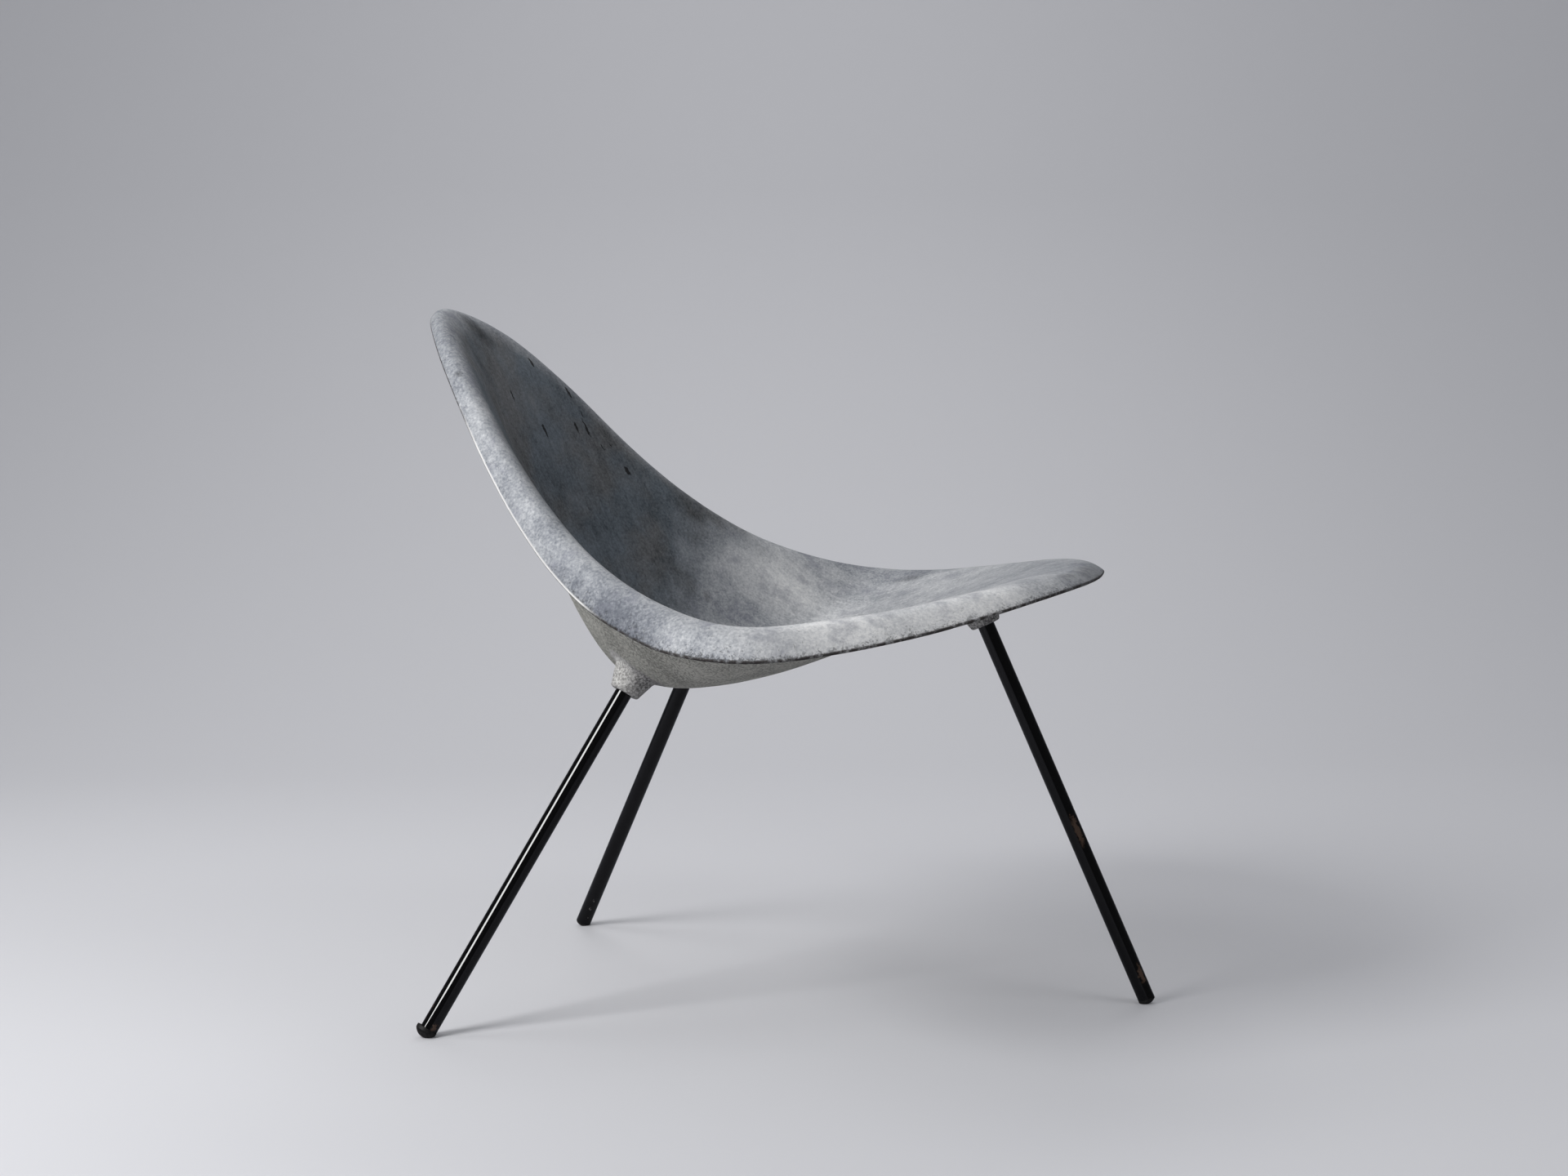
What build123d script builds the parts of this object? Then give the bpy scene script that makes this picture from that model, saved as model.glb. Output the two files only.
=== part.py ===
from build123d import *
import os
from functools import lru_cache
from itertools import accumulate
from math import cos, pi, radians, sin

# Lounge chair: a cast aluminium bucket seat with a rolled rim, on three splayed steel tube legs.
# Millimetres. +Z is up, the sitter faces -Y and has -X on the right hand.

# Crest of the rolled rim on the sitter's left, from the front round to the top of the back
CREST_FRONT = (0, -279, 415)
CREST_KNEE = (169, -247, 412)
CREST_THIGH = (340, -84, 389)
CREST_ELBOW = (359, -37, 388)
CREST_HIP = (335, 27, 399)
CREST_WAIST = (210, 198, 509)
CREST_SHOULDER = (83, 320, 649)
CREST_TOP = (0, 345, 669)

# Hollow of the seat: its flat middle, and how far the curve runs level from there and into the crest.
# Three values are those at the front, the side and the back.
HOLLOW_Y = 126
HOLLOW_Z = 306
HOLLOW_FLAT_RADIUS = 15
LEVEL_FROM_MIDDLE = (0.36, 0.68, 0.39)
LEVEL_INTO_CREST = (0.18, 0.10, 0.22)

# Lip outside the crest: width on the slope with its rounded edge, droop in degrees, and how softly it turns over
LIP_WIDTH = (24.2, 38.2, 9.9)
LIP_DROOP = (20, 45.5, 38)
LIP_SOFTNESS = 0.5

# Casting thickness in the hollow and at the bare edge of the lip
WALL = 5.0
EDGE_THICKNESS = 3.5
EDGE_ROUND = 1.2

# Cast bosses that take the legs
REAR_BOSS_HEIGHT = 20.5
FRONT_BOSS_HEIGHT = 27.5
BOSS_MOUTH_DIAMETER = 28.0
BOSS_DRAFT = 17.5
BOSS_MOUTH_ROUND = 3.0
BOSS_ROOT_FILLET = 8.0

# Legs: steel tube, its foot point on the floor, its lean from upright and the way that it leans
LEG_DIAMETER = 16.0
LEG_WALL = 2.0
REAR_FOOT_X = 237
REAR_FOOT_Y = 292
REAR_LEAN = 32.95
REAR_HEADING = 54.3
FRONT_FOOT_Y = -344
FRONT_LEAN = 23.1

# Leg fixing: the tube stands in a socket, and a stud in its end screws into the boss above
SOCKET_DEPTH = 8.0
SOCKET_CLEARANCE = 0.15
STUD_DIAMETER = 10.0
THREAD_CLEARANCE = 0.1
STUD_END_GAP = 0.5
METAL_OVER_STUD = 4.0
PLUG_LENGTH = 25.0
PLUG_CLEARANCE = 0.05

# Feet: a stem in the tube and a domed head that the floor has worn flat
FOOT_STEM_LENGTH = 15.0
FOOT_WEAR = 1.2
TIP_RIM = 2.0
TIP_DOME = 3.5
CAP_DIAMETER = 19.5
CAP_RIM = 3.0
CAP_DOME = 6.0
CAP_OFFSET = 1.7

# Sections of the skin: 0 is the flat middle, 1 the crest and 2 the edge of the lip
HOLLOW_SECTIONS = 10
LIP_SECTIONS = 5
CORNER_SECTIONS = 4
RING_POINTS = 24
TURN_STEP = 0.0005

half_crest = [
    CREST_FRONT, CREST_KNEE, CREST_THIGH, CREST_ELBOW, CREST_HIP, CREST_WAIST, CREST_SHOULDER, CREST_TOP,
]
# Both halves of a curve round the seat cross the middle plane square to it
SQUARE_ENDS = [(1, 0, 0), (-1, 0, 0)]
chords = [(Vector(b) - Vector(a)).length for a, b in zip(half_crest, half_crest[1:])]
crest = Edge.make_spline(half_crest, tangents=SQUARE_ENDS, parameters=[0, *accumulate(chords)], scale=False)
hollow_middle = Vector(0, HOLLOW_Y, HOLLOW_Z)
sections = [k / HOLLOW_SECTIONS for k in range(HOLLOW_SECTIONS)]
sections += [1 + k / LIP_SECTIONS for k in range(LIP_SECTIONS + 1)]


def around(values, turn):
    """A front, side and back value blended smoothly round the rim: turn is 0 at the front, 1 at the back."""
    front, side, back = values
    ends = (front + back) / 2
    sway = (front - back) / 2 * cos(pi * turn)
    return (ends + side) / 2 + sway + (ends - side) / 2 * cos(2 * pi * turn)


def bezier(points, t):
    """Point at t on the Bezier curve with these control points."""
    while len(points) > 1:
        points = [a + (b - a) * t for a, b in zip(points, points[1:])]
    return points[0]


@lru_cache(maxsize=None)
def profile(turn):
    """Control points of the hollow's curve and of the lip's curve at one place round the rim."""
    top = crest @ turn
    along = crest % turn
    outward = Vector(along.Y, -along.X, 0).normalized()
    upward = outward.cross(along)
    run = Vector(top.X, top.Y, 0) - Vector(0, HOLLOW_Y, 0)
    away = run.normalized()
    hollow = [
        hollow_middle + away * HOLLOW_FLAT_RADIUS,
        hollow_middle + away * (run.length * around(LEVEL_FROM_MIDDLE, turn)),
        top - outward * (run.length * around(LEVEL_INTO_CREST, turn)),
        top,
    ]
    width = around(LIP_WIDTH, turn) - EDGE_ROUND
    droop = radians(around(LIP_DROOP, turn))
    reach = outward * (width * cos(droop))
    edge = top + reach - upward * (width * sin(droop))
    return hollow, [top, top + reach * LIP_SOFTNESS, edge]


def skin(turn, section):
    """Point on the upper skin of the seat."""
    hollow, lip = profile(turn)
    return bezier(hollow, section) if section <= 1 else bezier(lip, section - 1)


def skin_normal(turn, section):
    """Upward normal of the upper skin."""
    hollow, lip = profile(turn)
    curve, t = (hollow, section) if section <= 1 else (lip, section - 1)
    across = bezier([b - a for a, b in zip(curve, curve[1:])], t)
    if turn in (0, 1):
        round_rim = Vector(1 - 2 * turn, 0, 0)
    else:
        round_rim = skin(turn + TURN_STEP, section) - skin(turn - TURN_STEP, section)
    return across.cross(round_rim).normalized()


def below_skin(share):
    """Surface at this share of the casting's thickness under the upper skin."""

    def point(turn, section):
        thickness = WALL + (EDGE_THICKNESS - WALL) * section / 2
        return skin(turn, section) - skin_normal(turn, section) * (thickness * share)

    return point


def ring(surface, section):
    """Closed curve round the seat on one section of a surface."""
    turns = [k / RING_POINTS for k in range(RING_POINTS + 1)]
    points = [surface(turn, section) for turn in turns]
    front_rate = Vector(surface(TURN_STEP, section).X / TURN_STEP, 0, 0)
    back_rate = Vector(-surface(1 - TURN_STEP, section).X / TURN_STEP, 0, 0)
    half = Edge.make_spline(points, tangents=[front_rate, back_rate], parameters=turns, scale=False)
    return Wire([half, half.mirror(Plane.YZ)])


def sheet(surface):
    """Faces of a surface from the flat middle of the hollow out to the edge of the lip."""
    rings = [ring(surface, section) for section in sections]
    return [Face(rings[0])] + Shell.make_loft(rings).faces(), rings[-1]


def edge_corner(lower):
    """Rounded upper or lower corner of the lip's edge: the angle is 0 where it leaves the skin."""

    def point(turn, angle):
        lip = profile(turn)[1]
        outward = (lip[2] - lip[1]).normalized()
        inset = EDGE_ROUND * (1 - cos(angle))
        depth = EDGE_THICKNESS - inset if lower else inset
        return skin(turn, 2) + outward * (EDGE_ROUND * sin(angle)) - skin_normal(turn, 2) * depth

    return point


def cast_skin():
    """The seat without its bosses, and its two sheets of faces."""
    upper, upper_rim = sheet(skin)
    lower, lower_rim = sheet(below_skin(1))
    angles = [pi / 2 * k / CORNER_SECTIONS for k in range(1, CORNER_SECTIONS + 1)]
    upper_corner = [upper_rim] + [ring(edge_corner(False), angle) for angle in angles]
    lower_corner = [lower_rim] + [ring(edge_corner(True), angle) for angle in angles]
    edge = Shell.make_loft(upper_corner).faces() + Shell.make_loft(lower_corner).faces()
    edge += Shell.make_loft([upper_corner[-1], lower_corner[-1]], ruled=True).faces()
    return Solid(Shell(upper + lower + edge)), Shell(upper), Shell(lower)


class Leg:
    """Where one leg stands, and the distances along its axis from the floor."""

    def __init__(self, foot_x, foot_y, lean, heading, boss, head_diameter, head_rim, head_dome, head_offset):
        tilt = sin(radians(lean))
        self.lean = radians(lean)
        self.axis = Vector(tilt * cos(radians(heading)), tilt * sin(radians(heading)), cos(self.lean))
        foot = Vector(foot_x, foot_y, 0)
        self.line = Axis(foot, self.axis)
        outer = Vector(0, 0, 1) - self.axis * self.axis.Z
        self.frame = Plane(foot, x_dir=outer, z_dir=self.axis)
        root = (underside.find_intersection_points(self.line)[0][0] - foot).length
        seat = (upper_side.find_intersection_points(self.line)[0][0] - foot).length
        self.boss_height = boss
        self.mouth = root - boss
        self.tube_top = self.mouth + SOCKET_DEPTH
        self.stud_hole_top = seat - METAL_OVER_STUD
        self.head_radius = head_diameter / 2
        self.head_rim = head_rim
        self.head_dome = head_dome
        self.head_offset = head_offset
        self.dome_radius = (self.head_radius ** 2 + head_dome ** 2) / (2 * head_dome)
        rise = head_offset * tilt
        self.dome_centre = (self.dome_radius - FOOT_WEAR - rise) / self.axis.Z
        self.tube_bottom = self.dome_centre - self.dome_radius + head_dome + head_rim

    def round_bar(self, diameter, start, end):
        """Solid cylinder on the leg's axis between two distances from the floor."""
        bar = Cylinder(diameter / 2, end - start, align=(Align.CENTER, Align.CENTER, Align.MIN))
        return self.frame * Pos(0, 0, start) * bar


def cast_boss(leg, mid_wall):
    """Tapered boss with a rounded mouth that grows into the middle of the casting's wall."""
    length = leg.boss_height + WALL + BOSS_MOUTH_DIAMETER
    mouth_radius = BOSS_MOUTH_DIAMETER / 2
    spread = length * sin(radians(BOSS_DRAFT)) / cos(radians(BOSS_DRAFT))
    cone = Cone(mouth_radius, mouth_radius + spread, length, align=(Align.CENTER, Align.CENTER, Align.MIN))
    cone = fillet(cone.edges().group_by(Axis.Z)[0], BOSS_MOUTH_ROUND)
    cone = leg.frame * Pos(0, 0, leg.mouth) * cone
    pieces = cone.solid().split(mid_wall, keep=Keep.ALL)
    return ShapeList(pieces).solids().sort_by(leg.line)[0]


def seat_shell(legs):
    """The casting: skin, bosses with their cast fillets, and the leg sockets bored into them."""
    mid_wall = Shell(sheet(below_skin(0.5))[0])
    bosses = [cast_boss(leg, mid_wall) for leg in legs]
    casting = casting_skin
    for boss in bosses:
        joined = casting + boss
        casting = fillet(new_edges(casting, boss, combined=joined), BOSS_ROOT_FILLET)
    for leg in legs:
        socket = LEG_DIAMETER + 2 * SOCKET_CLEARANCE
        casting -= leg.round_bar(socket, leg.mouth - BOSS_MOUTH_DIAMETER, leg.tube_top)
        casting -= leg.round_bar(STUD_DIAMETER + 2 * THREAD_CLEARANCE, leg.mouth, leg.stud_hole_top)
    return casting


def tube(leg):
    """Leg tube from the head of its foot to the floor of its socket."""
    bore = LEG_DIAMETER - 2 * LEG_WALL
    outside = leg.round_bar(LEG_DIAMETER, leg.tube_bottom, leg.tube_top)
    return outside - leg.round_bar(bore, leg.tube_bottom, leg.tube_top)


def stud(leg):
    """Plug in the top of the tube with the screwed shank that holds the leg in the boss."""
    plug_diameter = LEG_DIAMETER - 2 * LEG_WALL - 2 * PLUG_CLEARANCE
    plug = leg.round_bar(plug_diameter, leg.tube_top - PLUG_LENGTH, leg.tube_top)
    return plug + leg.round_bar(STUD_DIAMETER, leg.tube_top, leg.stud_hole_top - STUD_END_GAP)


def foot(leg):
    """Stem in the bottom of the tube and a domed head, cut level by the floor."""
    stem_diameter = LEG_DIAMETER - 2 * LEG_WALL - 2 * PLUG_CLEARANCE
    stem = leg.round_bar(stem_diameter, leg.tube_bottom, leg.tube_bottom + FOOT_STEM_LENGTH)
    rim_bottom = leg.tube_bottom - leg.head_rim
    apex = rim_bottom - leg.head_dome
    with BuildSketch(Plane.XZ) as half:
        with BuildLine():
            Line((0, leg.tube_bottom), (leg.head_radius, leg.tube_bottom))
            Line((leg.head_radius, leg.tube_bottom), (leg.head_radius, rim_bottom))
            RadiusArc((leg.head_radius, rim_bottom), (0, apex), leg.dome_radius)
            Line((0, apex), (0, leg.tube_bottom))
        make_face()
    head = leg.frame * Pos(leg.head_offset, 0, 0) * revolve(half.sketch, Axis.Z)
    reach = 2 * leg.head_radius + leg.head_rim + leg.head_dome
    under_floor = Box(2 * reach, 2 * reach, reach, align=(Align.CENTER, Align.CENTER, Align.MAX))
    return stem + head - Pos(leg.frame.origin) * under_floor


casting_skin, upper_side, underside = cast_skin()
plain_tip = dict(head_diameter=LEG_DIAMETER, head_rim=TIP_RIM, head_dome=TIP_DOME, head_offset=0)
domed_cap = dict(head_diameter=CAP_DIAMETER, head_rim=CAP_RIM, head_dome=CAP_DOME, head_offset=CAP_OFFSET)
legs = {
    "rear_right": Leg(-REAR_FOOT_X, REAR_FOOT_Y, REAR_LEAN, -REAR_HEADING, REAR_BOSS_HEIGHT, **domed_cap),
    "rear_left": Leg(REAR_FOOT_X, REAR_FOOT_Y, REAR_LEAN, 180 + REAR_HEADING, REAR_BOSS_HEIGHT, **plain_tip),
    "front": Leg(0, FRONT_FOOT_Y, FRONT_LEAN, 90, FRONT_BOSS_HEIGHT, **plain_tip),
}

nodes = {"seat_shell": seat_shell(legs.values())}
for place, leg in legs.items():
    nodes[f"{place}_leg"] = tube(leg)
    nodes[f"{place}_stud"] = stud(leg)
    nodes[f"{place}_foot"] = foot(leg)

# The origin goes to the floor, under the middle of the chair
box = Compound(children=[Compound(node.wrapped) for node in nodes.values()]).bounding_box()
to_origin = Pos(-box.center().X, -box.center().Y, 0)

os.makedirs("parts", exist_ok=True)
for name, node in nodes.items():
    export_step(to_origin * node, f"parts/{name}.step")
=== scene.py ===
import math
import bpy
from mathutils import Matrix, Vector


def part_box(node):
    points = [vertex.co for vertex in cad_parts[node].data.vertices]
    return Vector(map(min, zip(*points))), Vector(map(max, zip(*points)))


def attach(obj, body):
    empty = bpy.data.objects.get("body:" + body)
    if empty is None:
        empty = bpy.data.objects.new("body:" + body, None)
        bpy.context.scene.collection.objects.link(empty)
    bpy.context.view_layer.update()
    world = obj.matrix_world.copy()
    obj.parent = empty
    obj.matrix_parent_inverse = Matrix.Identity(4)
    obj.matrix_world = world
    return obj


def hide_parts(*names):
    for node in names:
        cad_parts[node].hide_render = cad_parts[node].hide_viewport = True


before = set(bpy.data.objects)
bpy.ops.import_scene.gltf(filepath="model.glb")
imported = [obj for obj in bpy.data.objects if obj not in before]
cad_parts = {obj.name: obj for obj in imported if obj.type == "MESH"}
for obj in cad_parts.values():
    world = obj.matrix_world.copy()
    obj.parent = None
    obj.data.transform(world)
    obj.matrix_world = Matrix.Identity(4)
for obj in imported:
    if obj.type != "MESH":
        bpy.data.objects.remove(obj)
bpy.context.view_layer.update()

from types import SimpleNamespace

import bpy
import numpy as np
from mathutils import Matrix, Vector, noise
from mathutils.bvhtree import BVHTree

# Lounge chair: a cast aluminium bucket seat with a rolled rim, on three splayed black steel legs.
# Metres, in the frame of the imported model. The sitter faces -Y, and the camera stands on the -X side.
MM = 0.001

# The casting's sizes in millimetres, as in the part's source
CREST = [
    (0, -279, 415), (169, -247, 412), (340, -84, 389), (359, -37, 388),
    (335, 27, 399), (210, 198, 509), (83, 320, 649), (0, 345, 669),
]
HOLLOW_Y = 126
HOLLOW_Z = 306
HOLLOW_FLAT_RADIUS = 15
LEVEL_FROM_MIDDLE = (0.36, 0.68, 0.39)
LEVEL_INTO_CREST = (0.18, 0.10, 0.22)
LIP_WIDTH = (24.2, 38.2, 9.9)
LIP_DROOP = (20, 45.5, 38)
LIP_SOFTNESS = 0.5
WALL = 5.0
EDGE_THICKNESS = 3.5
EDGE_ROUND = 1.2
LEG_DIAMETER = 16.0
SOCKET_CLEARANCE = 0.15
SOCKET_CHAMFER = 0.5
SOCKET_DEPTH = 8.0
STUD_HOLE_DIAMETER = 10.2
METAL_OVER_STUD = 4.0
BOSS_MOUTH_DIAMETER = 28.0
BOSS_DRAFT = 17.5
BOSS_MOUTH_ROUND = 3.0
BOSS_ROOT_FILLET = 8.0
# Foot point on the floor, lean from upright, heading and boss height of each leg, before the origin was set
LEGS = {
    "rear_right": (-237, 292, 32.95, -54.3, 20.5),
    "rear_left": (237, 292, 32.95, 180 + 54.3, 20.5),
    "front": (0, -344, 23.1, 90, 27.5),
}
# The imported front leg's box says how far the part was moved to its origin
FRONT_LEG_REACH = 349.336
TO_ORIGIN_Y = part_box("front_leg")[0][1] / MM + FRONT_LEG_REACH

# How finely the casting is drawn
CREST_SAMPLES = 8000
CREST_STEP = 1e-5
HALF_RIM_STEPS = 220
RING_STATIONS = 24
TURN_STEP = 0.0005
HOLLOW_STEPS = 64
MIDDLE_RINGS = (0, 0.35, 0.7)
LIP_STEPS = 10
CORNER_STEPS = 4
BOSS_STEPS = 96
BOSS_SIDE_RINGS = (0.25, 0.5, 0.75)
ROUND_STEPS = 8
MERGE_DISTANCE = 0.00001
SMOOTH_ANGLE = math.radians(38)

# How a boss is fitted to the skin, in millimetres: tries at the line where they meet, the stretch beyond it
# that gives the skin's slope, the skirt round the fillet, and how much wider the hole in the skin is
MEETING_TRIES = 12
SLOPE_FROM, SLOPE_TO = 1, 7
BOSS_SKIRT = 4
HOLE_MARGIN = 1.5
PAST_SKIN = 0.01
# What the finish takes as a boss's distance from the edge, in metres
BOSS_FROM_EDGE = 0.2

# Waves left by rubbing down, as length and height in metres, and how far round a leg the casting stays true
WAVES = ((0.09, 0.0007), (0.03, 0.00016))
BOSS_KEPT_TRUE = 0.03
WAVE_SEED = 7


# Geometry of the casting

def clamped_spline(points, knots, start_rate, end_rate):
    """Smooth cubic curve through the points, with set rates at its ends, as a function of the knots."""
    points = np.asarray(points, float)
    gaps = np.diff(knots)
    count = len(points)
    matrix = np.zeros((count, count))
    right = np.zeros((count, 3))
    slopes = np.diff(points, axis=0) / gaps[:, None]
    matrix[0, :2] = 2 * gaps[0], gaps[0]
    right[0] = 6 * (slopes[0] - start_rate)
    matrix[-1, -2:] = gaps[-1], 2 * gaps[-1]
    right[-1] = 6 * (end_rate - slopes[-1])
    for k in range(1, count - 1):
        matrix[k, k - 1:k + 2] = gaps[k - 1], 2 * (gaps[k - 1] + gaps[k]), gaps[k]
        right[k] = 6 * (slopes[k] - slopes[k - 1])
    bend = np.linalg.solve(matrix, right)

    def curve(at):
        k = np.clip(np.searchsorted(knots, at, side="right") - 1, 0, count - 2)
        gap = gaps[k][:, None]
        before = (at - knots[k])[:, None]
        after = gap - before
        return (
            bend[k] * after ** 3 / (6 * gap) + bend[k + 1] * before ** 3 / (6 * gap)
            + (points[k] / gap - bend[k] * gap / 6) * after
            + (points[k + 1] / gap - bend[k + 1] * gap / 6) * before
        )

    return curve


def steps_along(points):
    """Lengths of the steps from each point to the next."""
    return np.linalg.norm(np.diff(points, axis=0), axis=1)


crest_knots = np.concatenate([[0], np.cumsum(steps_along(np.array(CREST, float)))])
crest_curve = clamped_spline(CREST, crest_knots, np.array([1.0, 0, 0]), np.array([-1.0, 0, 0]))
fine_knots = np.linspace(0, crest_knots[-1], CREST_SAMPLES + 1)
fine_lengths = np.concatenate([[0], np.cumsum(steps_along(crest_curve(fine_knots)))])


def crest_at(turn):
    """Points and unit directions of the crest at shares of its length, from the front (0) to the back (1)."""
    at = np.interp(turn * fine_lengths[-1], fine_lengths, fine_knots)
    step = crest_knots[-1] * CREST_STEP
    ahead = crest_curve(np.minimum(at + step, crest_knots[-1])) - crest_curve(np.maximum(at - step, 0))
    return crest_curve(at), ahead / np.linalg.norm(ahead, axis=1)[:, None]


def around(values, turn):
    """A front, side and back value blended smoothly round the rim."""
    front, side, back = values
    ends = (front + back) / 2
    sway = (front - back) / 2 * np.cos(np.pi * turn)
    return ((ends + side) / 2 + sway + (ends - side) / 2 * np.cos(2 * np.pi * turn))[:, None]


def bezier(controls, share):
    """Points at one share of the Bezier curves with these rows of control points."""
    while len(controls) > 1:
        controls = [a + (b - a) * share for a, b in zip(controls, controls[1:])]
    return controls[0]


def profiles(turn):
    """Control points of the hollow's curves and of the lip's curves round the rim."""
    top, along = crest_at(turn)
    outward = np.stack([along[:, 1], -along[:, 0], np.zeros(len(turn))], axis=1)
    outward /= np.linalg.norm(outward, axis=1)[:, None]
    upward = np.cross(outward, along)
    middle = np.array([0, HOLLOW_Y, HOLLOW_Z], float)
    run = top * [1, 1, 0] - [0, HOLLOW_Y, 0]
    length = np.linalg.norm(run, axis=1)[:, None]
    away = run / length
    hollow = [
        middle + away * HOLLOW_FLAT_RADIUS,
        middle + away * length * around(LEVEL_FROM_MIDDLE, turn),
        top - outward * length * around(LEVEL_INTO_CREST, turn),
        top,
    ]
    width = around(LIP_WIDTH, turn) - EDGE_ROUND
    droop = np.radians(around(LIP_DROOP, turn))
    reach = outward * width * np.cos(droop)
    edge = top + reach - upward * width * np.sin(droop)
    return hollow, [top, top + reach * LIP_SOFTNESS, edge]


def skin(turn, section):
    """Points of the upper skin round the seat.
    Section 0 is the flat middle, 1 the crest and 2 the edge of the lip."""
    hollow, lip = profiles(turn)
    return bezier(hollow, section) if section <= 1 else bezier(lip, section - 1)


def skin_normal(turn, section):
    """Upward normals of the upper skin."""
    hollow, lip = profiles(turn)
    curve, share = (hollow, section) if section <= 1 else (lip, section - 1)
    across = bezier([b - a for a, b in zip(curve, curve[1:])], share)
    ahead, behind = np.minimum(turn + TURN_STEP, 1), np.maximum(turn - TURN_STEP, 0)
    round_rim = skin(ahead, section) - skin(behind, section)
    round_rim[turn <= 0] = (1, 0, 0)
    round_rim[turn >= 1] = (-1, 0, 0)
    normal = np.cross(across, round_rim)
    return normal / np.linalg.norm(normal, axis=1)[:, None]


def half_ring(surface):
    """Points from the front to the back on the smooth curve through a surface's stations."""
    stations = np.linspace(0, 1, RING_STATIONS + 1)
    front_rate = surface(np.array([TURN_STEP]))[0] / TURN_STEP * [1, 0, 0]
    back_rate = surface(np.array([1 - TURN_STEP]))[0] / TURN_STEP * [-1, 0, 0]
    curve = clamped_spline(surface(stations), stations, front_rate, back_rate)
    return curve(np.linspace(0, 1, HALF_RIM_STEPS + 1))


def whole_ring(half):
    """A half ring carried on round its mirror image to the front again."""
    return np.concatenate([half, (half * [-1, 1, 1])[-2::-1]])


def casting_rows():
    """Rings of the casting from the middle of its upper side, over the edge, to the middle of its underside.
    Each also says how far it is turned under (0 to 1), on the edge, and from the edge in millimetres."""
    sections = np.concatenate([
        np.linspace(0, 1, HOLLOW_STEPS, endpoint=False), np.linspace(1, 2, LIP_STEPS + 1),
    ])

    def under_skin(section):
        depth = WALL + (EDGE_THICKNESS - WALL) * section / 2
        return lambda turn: skin(turn, section) - skin_normal(turn, section) * depth

    def corner(reach, depth):
        def points(turn):
            lip = profiles(turn)[1]
            outward = lip[2] - lip[1]
            outward /= np.linalg.norm(outward, axis=1)[:, None]
            return skin(turn, 2) + outward * reach - skin_normal(turn, 2) * depth
        return points

    def from_middle(middle, rings):
        return [middle + (rings[0] - middle) * share for share in MIDDLE_RINGS] + rings

    middle = np.array([0, HOLLOW_Y, HOLLOW_Z], float)
    upper = from_middle(middle, [half_ring(lambda turn: skin(turn, section)) for section in sections])
    lower = from_middle(middle - [0, 0, WALL], [half_ring(under_skin(section)) for section in sections])
    angles = np.linspace(0, np.pi / 2, CORNER_STEPS + 1)[1:]
    corners = [(EDGE_ROUND * np.sin(angle), EDGE_ROUND * (1 - np.cos(angle))) for angle in angles]
    corners += [(reach, EDGE_THICKNESS - inset) for reach, inset in corners[::-1]]
    edge = [half_ring(corner(reach, depth)) for reach, depth in corners]
    rows = upper + edge + lower[::-1]
    under = [0] * len(upper) + list(np.linspace(0, 1, len(edge) + 2)[1:-1]) + [1] * len(lower)
    on_edge = [0] * (len(upper) - 1) + [1] * (len(edge) + 2) + [0] * (len(lower) - 1)
    inland = np.zeros((len(upper), HALF_RIM_STEPS + 1))
    for k in range(len(upper) - 2, -1, -1):
        inland[k] = inland[k + 1] + np.linalg.norm(upper[k + 1] - upper[k], axis=1)
    from_edge = np.concatenate([inland, np.zeros((len(edge), HALF_RIM_STEPS + 1)), inland[::-1]])
    from_edge = np.concatenate([from_edge, from_edge[:, -2::-1]], axis=1)
    points = np.stack([whole_ring(row) for row in rows])
    count = points.shape[1]
    return points, np.repeat(under, count), np.repeat(on_edge, count), from_edge.reshape(-1)


def draped_grid(name, points, marks):
    """A grid primitive with its corners laid on rows of points in millimetres, its seam and poles merged.
    The marks are numbers kept on its corners, which the finish reads."""
    rows, columns = points.shape[:2]
    bpy.ops.object.select_all(action="DESELECT")
    bpy.ops.mesh.primitive_grid_add(x_subdivisions=columns - 1, y_subdivisions=rows - 1)
    piece = bpy.context.object
    piece.name = name
    place = (points.reshape(-1, 3) + [0, TO_ORIGIN_Y, 0]) * MM
    piece.data.vertices.foreach_set("co", place.reshape(-1))
    for mark, values in marks.items():
        layer = piece.data.attributes.new(mark, "FLOAT", "POINT")
        layer.data.foreach_set("value", np.broadcast_to(values, rows * columns).astype(np.float32))
    bpy.ops.object.mode_set(mode="EDIT")
    bpy.ops.mesh.select_all(action="SELECT")
    bpy.ops.mesh.remove_doubles(threshold=MERGE_DISTANCE)
    bpy.ops.mesh.normals_make_consistent(inside=False)
    bpy.ops.object.mode_set(mode="OBJECT")
    return piece


class Leg:
    """A leg's line from the floor, in millimetres, and two directions across it."""

    def __init__(self, foot_x, foot_y, lean, heading, boss_height):
        lean, heading = math.radians(lean), math.radians(heading)
        self.foot = Vector((foot_x, foot_y + TO_ORIGIN_Y, 0))
        self.axis = Vector((
            math.sin(lean) * math.cos(heading), math.sin(lean) * math.sin(heading), math.cos(lean),
        ))
        self.side = self.axis.cross(Vector((0, 0, 1))).normalized()
        self.other = self.axis.cross(self.side)
        self.boss_height = boss_height

    def at(self, radius, angle, height):
        """Point round the leg at a height along its axis from the floor."""
        across = self.side * math.cos(angle) + self.other * math.sin(angle)
        return self.foot + self.axis * height + across * radius

    def off_axis(self, points):
        """Distances of points in metres from the leg's axis, in millimetres."""
        apart = points / MM - np.array(self.foot)
        axis = np.array(self.axis)
        return np.linalg.norm(apart - np.outer(apart @ axis, axis), axis=1)


def height_above(tree, leg, radius, angle, start=0):
    """How far along the leg's axis the casting is first met."""
    origin = leg.at(radius, angle, start) * MM
    hit = tree.ray_cast(origin, leg.axis)[0]
    return start + (hit - origin).length / MM


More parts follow.
